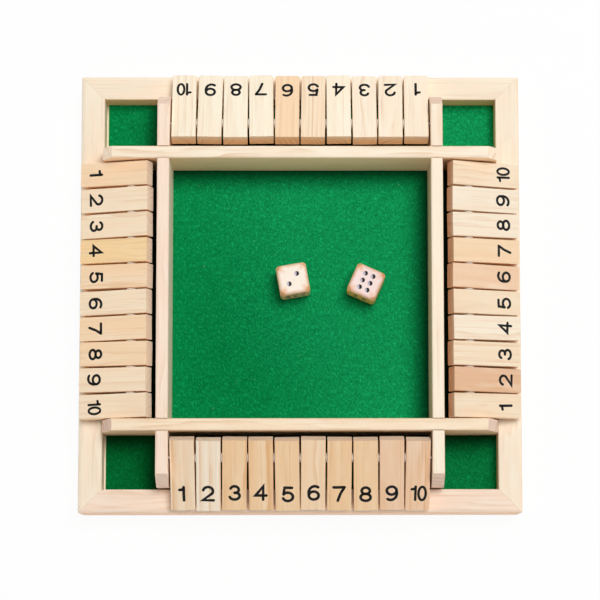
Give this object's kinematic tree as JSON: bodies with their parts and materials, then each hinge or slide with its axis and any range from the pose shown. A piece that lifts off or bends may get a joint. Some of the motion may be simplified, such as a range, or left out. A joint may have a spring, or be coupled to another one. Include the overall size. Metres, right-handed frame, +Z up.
{
  "type": "shut the box game",
  "caption": "Shut the box game for several players: a square pine tray lined with green felt, numbered wooden tiles hinged along every side on metal rods, and wooden dice.",
  "frame": {"origin": "on the table under the middle of the square frame", "axes": "+Z up; -Y towards the player at the bottom of the picture; +X to that player's right"},
  "size_m": [0.29, 0.29, 0.0485],
  "materials": {
    "pine": "clear satin varnish",
    "pine_rosy": "clear satin varnish",
    "base_board": "bare",
    "felt": "matted wool felt",
    "rod_steel": "drawn",
    "nylon": "matt",
    "die_wood": "satin, burnished edges"
  },
  "bodies": {
    "tray": {"frame_rail_south": "pine", "frame_rail_east": "pine", "frame_rail_north": "pine", "frame_rail_west": "pine", "base_panel": "base_board", "felt": "felt", "divider_south": "pine", "divider_east": "pine", "divider_north": "pine", "divider_west": "pine", "axle_south": "rod_steel", "axle_east": "rod_steel", "axle_north": "rod_steel", "axle_west": "rod_steel", "spacers_south": "nylon", "spacers_east": "nylon", "spacers_north": "nylon", "spacers_west": "nylon"},
    "tile_south_01": {"tile_south_01": "pine"},
    "tile_south_02": {"tile_south_02": "pine"},
    "tile_south_03": {"tile_south_03": "pine"},
    "tile_south_04": {"tile_south_04": "pine"},
    "tile_south_05": {"tile_south_05": "pine"},
    "tile_south_06": {"tile_south_06": "pine"},
    "tile_south_07": {"tile_south_07": "pine"},
    "tile_south_08": {"tile_south_08": "pine"},
    "tile_south_09": {"tile_south_09": "pine"},
    "tile_south_10": {"tile_south_10": "pine_rosy"},
    "tile_east_01": {"tile_east_01": "pine"},
    "tile_east_02": {"tile_east_02": "pine_rosy"},
    "tile_east_03": {"tile_east_03": "pine"},
    "tile_east_04": {"tile_east_04": "pine"},
    "tile_east_05": {"tile_east_05": "pine"},
    "tile_east_06": {"tile_east_06": "pine_rosy"},
    "tile_east_07": {"tile_east_07": "pine_rosy"},
    "tile_east_08": {"tile_east_08": "pine"},
    "tile_east_09": {"tile_east_09": "pine"},
    "tile_east_10": {"tile_east_10": "pine"},
    "tile_north_01": {"tile_north_01": "pine"},
    "tile_north_02": {"tile_north_02": "pine"},
    "tile_north_03": {"tile_north_03": "pine"},
    "tile_north_04": {"tile_north_04": "pine"},
    "tile_north_05": {"tile_north_05": "pine"},
    "tile_north_06": {"tile_north_06": "pine_rosy"},
    "tile_north_07": {"tile_north_07": "pine"},
    "tile_north_08": {"tile_north_08": "pine"},
    "tile_north_09": {"tile_north_09": "pine"},
    "tile_north_10": {"tile_north_10": "pine"},
    "tile_west_01": {"tile_west_01": "pine"},
    "tile_west_02": {"tile_west_02": "pine"},
    "tile_west_03": {"tile_west_03": "pine"},
    "tile_west_04": {"tile_west_04": "pine"},
    "tile_west_05": {"tile_west_05": "pine"},
    "tile_west_06": {"tile_west_06": "pine"},
    "tile_west_07": {"tile_west_07": "pine"},
    "tile_west_08": {"tile_west_08": "pine"},
    "tile_west_09": {"tile_west_09": "pine"},
    "tile_west_10": {"tile_west_10": "pine"},
    "die_left": {"die_left": "die_wood"},
    "die_right": {"die_right": "die_wood"}
  },
  "joints": [
    {"name": "flip_south_01", "type": "hinge", "parent": "tray", "child": "tile_south_01", "pos_m": [-0.07605, -0.1097, 0.0388], "axis": [-1, 0, 0], "range_deg": [0, 155.5]},
    {"name": "flip_south_02", "type": "hinge", "parent": "tray", "child": "tile_south_02", "pos_m": [-0.05915, -0.1097, 0.0388], "axis": [-1, 0, 0], "range_deg": [0, 155.5]},
    {"name": "flip_south_03", "type": "hinge", "parent": "tray", "child": "tile_south_03", "pos_m": [-0.04225, -0.1097, 0.0388], "axis": [-1, 0, 0], "range_deg": [0, 155.5]},
    {"name": "flip_south_04", "type": "hinge", "parent": "tray", "child": "tile_south_04", "pos_m": [-0.02535, -0.1097, 0.0388], "axis": [-1, 0, 0], "range_deg": [0, 155.5]},
    {"name": "flip_south_05", "type": "hinge", "parent": "tray", "child": "tile_south_05", "pos_m": [-0.00845, -0.1097, 0.0388], "axis": [-1, 0, 0], "range_deg": [0, 155.5]},
    {"name": "flip_south_06", "type": "hinge", "parent": "tray", "child": "tile_south_06", "pos_m": [0.00845, -0.1097, 0.0388], "axis": [-1, 0, 0], "range_deg": [0, 155.5]},
    {"name": "flip_south_07", "type": "hinge", "parent": "tray", "child": "tile_south_07", "pos_m": [0.02535, -0.1097, 0.0388], "axis": [-1, 0, 0], "range_deg": [0, 155.5]},
    {"name": "flip_south_08", "type": "hinge", "parent": "tray", "child": "tile_south_08", "pos_m": [0.04225, -0.1097, 0.0388], "axis": [-1, 0, 0], "range_deg": [0, 155.5]},
    {"name": "flip_south_09", "type": "hinge", "parent": "tray", "child": "tile_south_09", "pos_m": [0.05915, -0.1097, 0.0388], "axis": [-1, 0, 0], "range_deg": [0, 155.5]},
    {"name": "flip_south_10", "type": "hinge", "parent": "tray", "child": "tile_south_10", "pos_m": [0.07605, -0.1097, 0.0388], "axis": [-1, 0, 0], "range_deg": [0, 145]},
    {"name": "flip_east_01", "type": "hinge", "parent": "tray", "child": "tile_east_01", "pos_m": [0.1097, -0.07605, 0.0388], "axis": [0, -1, 0], "range_deg": [0, 155.5]},
    {"name": "flip_east_02", "type": "hinge", "parent": "tray", "child": "tile_east_02", "pos_m": [0.1097, -0.05915, 0.0388], "axis": [0, -1, 0], "range_deg": [0, 155.5]},
    {"name": "flip_east_03", "type": "hinge", "parent": "tray", "child": "tile_east_03", "pos_m": [0.1097, -0.04225, 0.0388], "axis": [0, -1, 0], "range_deg": [0, 155.5]},
    {"name": "flip_east_04", "type": "hinge", "parent": "tray", "child": "tile_east_04", "pos_m": [0.1097, -0.02535, 0.0388], "axis": [0, -1, 0], "range_deg": [0, 155.5]},
    {"name": "flip_east_05", "type": "hinge", "parent": "tray", "child": "tile_east_05", "pos_m": [0.1097, -0.00845, 0.0388], "axis": [0, -1, 0], "range_deg": [0, 155.5]},
    {"name": "flip_east_06", "type": "hinge", "parent": "tray", "child": "tile_east_06", "pos_m": [0.1097, 0.00845, 0.0388], "axis": [0, -1, 0], "range_deg": [0, 155.5]},
    {"name": "flip_east_07", "type": "hinge", "parent": "tray", "child": "tile_east_07", "pos_m": [0.1097, 0.02535, 0.0388], "axis": [0, -1, 0], "range_deg": [0, 155.5]},
    {"name": "flip_east_08", "type": "hinge", "parent": "tray", "child": "tile_east_08", "pos_m": [0.1097, 0.04225, 0.0388], "axis": [0, -1, 0], "range_deg": [0, 155.5]},
    {"name": "flip_east_09", "type": "hinge", "parent": "tray", "child": "tile_east_09", "pos_m": [0.1097, 0.05915, 0.0388], "axis": [0, -1, 0], "range_deg": [0, 155.5]},
    {"name": "flip_east_10", "type": "hinge", "parent": "tray", "child": "tile_east_10", "pos_m": [0.1097, 0.07605, 0.0388], "axis": [0, -1, 0], "range_deg": [0, 145]},
    {"name": "flip_north_01", "type": "hinge", "parent": "tray", "child": "tile_north_01", "pos_m": [0.07605, 0.1097, 0.0388], "axis": [1, 0, 0], "range_deg": [0, 155.5]},
    {"name": "flip_north_02", "type": "hinge", "parent": "tray", "child": "tile_north_02", "pos_m": [0.05915, 0.1097, 0.0388], "axis": [1, 0, 0], "range_deg": [0, 155.5]},
    {"name": "flip_north_03", "type": "hinge", "parent": "tray", "child": "tile_north_03", "pos_m": [0.04225, 0.1097, 0.0388], "axis": [1, 0, 0], "range_deg": [0, 155.5]},
    {"name": "flip_north_04", "type": "hinge", "parent": "tray", "child": "tile_north_04", "pos_m": [0.02535, 0.1097, 0.0388], "axis": [1, 0, 0], "range_deg": [0, 155.5]},
    {"name": "flip_north_05", "type": "hinge", "parent": "tray", "child": "tile_north_05", "pos_m": [0.00845, 0.1097, 0.0388], "axis": [1, 0, 0], "range_deg": [0, 155.5]},
    {"name": "flip_north_06", "type": "hinge", "parent": "tray", "child": "tile_north_06", "pos_m": [-0.00845, 0.1097, 0.0388], "axis": [1, 0, 0], "range_deg": [0, 155.5]},
    {"name": "flip_north_07", "type": "hinge", "parent": "tray", "child": "tile_north_07", "pos_m": [-0.02535, 0.1097, 0.0388], "axis": [1, 0, 0], "range_deg": [0, 155.5]},
    {"name": "flip_north_08", "type": "hinge", "parent": "tray", "child": "tile_north_08", "pos_m": [-0.04225, 0.1097, 0.0388], "axis": [1, 0, 0], "range_deg": [0, 155.5]},
    {"name": "flip_north_09", "type": "hinge", "parent": "tray", "child": "tile_north_09", "pos_m": [-0.05915, 0.1097, 0.0388], "axis": [1, 0, 0], "range_deg": [0, 155.5]},
    {"name": "flip_north_10", "type": "hinge", "parent": "tray", "child": "tile_north_10", "pos_m": [-0.07605, 0.1097, 0.0388], "axis": [1, 0, 0], "range_deg": [0, 145]},
    {"name": "flip_west_01", "type": "hinge", "parent": "tray", "child": "tile_west_01", "pos_m": [-0.1097, 0.07605, 0.0388], "axis": [0, 1, 0], "range_deg": [0, 155.5]},
    {"name": "flip_west_02", "type": "hinge", "parent": "tray", "child": "tile_west_02", "pos_m": [-0.1097, 0.05915, 0.0388], "axis": [0, 1, 0], "range_deg": [0, 155.5]},
    {"name": "flip_west_03", "type": "hinge", "parent": "tray", "child": "tile_west_03", "pos_m": [-0.1097, 0.04225, 0.0388], "axis": [0, 1, 0], "range_deg": [0, 155.5]},
    {"name": "flip_west_04", "type": "hinge", "parent": "tray", "child": "tile_west_04", "pos_m": [-0.1097, 0.02535, 0.0388], "axis": [0, 1, 0], "range_deg": [0, 155.5]},
    {"name": "flip_west_05", "type": "hinge", "parent": "tray", "child": "tile_west_05", "pos_m": [-0.1097, 0.00845, 0.0388], "axis": [0, 1, 0], "range_deg": [0, 155.5]},
    {"name": "flip_west_06", "type": "hinge", "parent": "tray", "child": "tile_west_06", "pos_m": [-0.1097, -0.00845, 0.0388], "axis": [0, 1, 0], "range_deg": [0, 155.5]},
    {"name": "flip_west_07", "type": "hinge", "parent": "tray", "child": "tile_west_07", "pos_m": [-0.1097, -0.02535, 0.0388], "axis": [0, 1, 0], "range_deg": [0, 155.5]},
    {"name": "flip_west_08", "type": "hinge", "parent": "tray", "child": "tile_west_08", "pos_m": [-0.1097, -0.04225, 0.0388], "axis": [0, 1, 0], "range_deg": [0, 155.5]},
    {"name": "flip_west_09", "type": "hinge", "parent": "tray", "child": "tile_west_09", "pos_m": [-0.1097, -0.05915, 0.0388], "axis": [0, 1, 0], "range_deg": [0, 155.5]},
    {"name": "flip_west_10", "type": "hinge", "parent": "tray", "child": "tile_west_10", "pos_m": [-0.1097, -0.07605, 0.0388], "axis": [0, 1, 0], "range_deg": [0, 145]},
    {"name": "lift_die_left", "type": "slide", "parent": "tray", "child": "die_left", "axis": [0, 0, 1], "range_m": [0, 0.06]},
    {"name": "lift_die_right", "type": "slide", "parent": "tray", "child": "die_right", "axis": [0, 0, 1], "range_m": [0, 0.06]}
  ]
}
